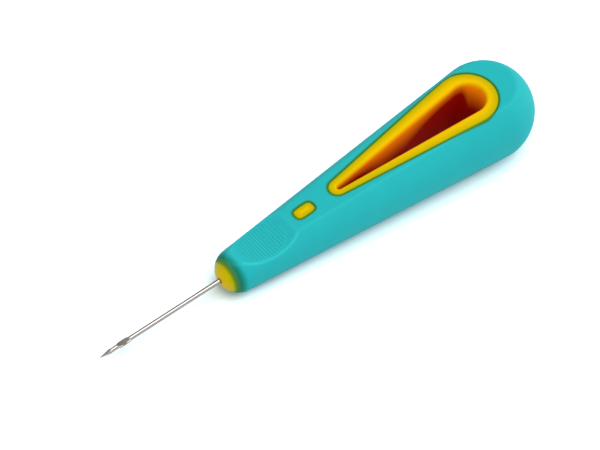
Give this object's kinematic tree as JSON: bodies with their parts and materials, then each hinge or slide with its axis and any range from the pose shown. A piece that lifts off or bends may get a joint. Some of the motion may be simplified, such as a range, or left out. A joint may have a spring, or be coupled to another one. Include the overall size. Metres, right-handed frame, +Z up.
{
  "type": "hand awl",
  "caption": "Hand awl with a thin steel needle, a four-facet point behind which the wire is pressed oval, and a ball-ended two-colour handle with a teardrop hole.",
  "frame": {"origin": "on the ground under the middle of the awl's bounding box, as it lies on the lower flat of its handle", "axes": "+X from the needle's point to the handle's ball end, +Y across the handle, +Z up out of the upper flat; the needle's own axis lies in the XZ plane and climbs 3.42 degrees towards +X"},
  "size_m": [0.1638, 0.0318, 0.0254],
  "materials": {
    "needle_steel": "bright drawn and ground steel",
    "core_plastic": "satin moulded polypropylene, yellow",
    "grip_rubber": "fine matte moulded elastomer, turquoise"
  },
  "bodies": {
    "root": {"needle": "needle_steel", "handle_core": "core_plastic", "soft_grip": "grip_rubber"}
  },
  "joints": []
}
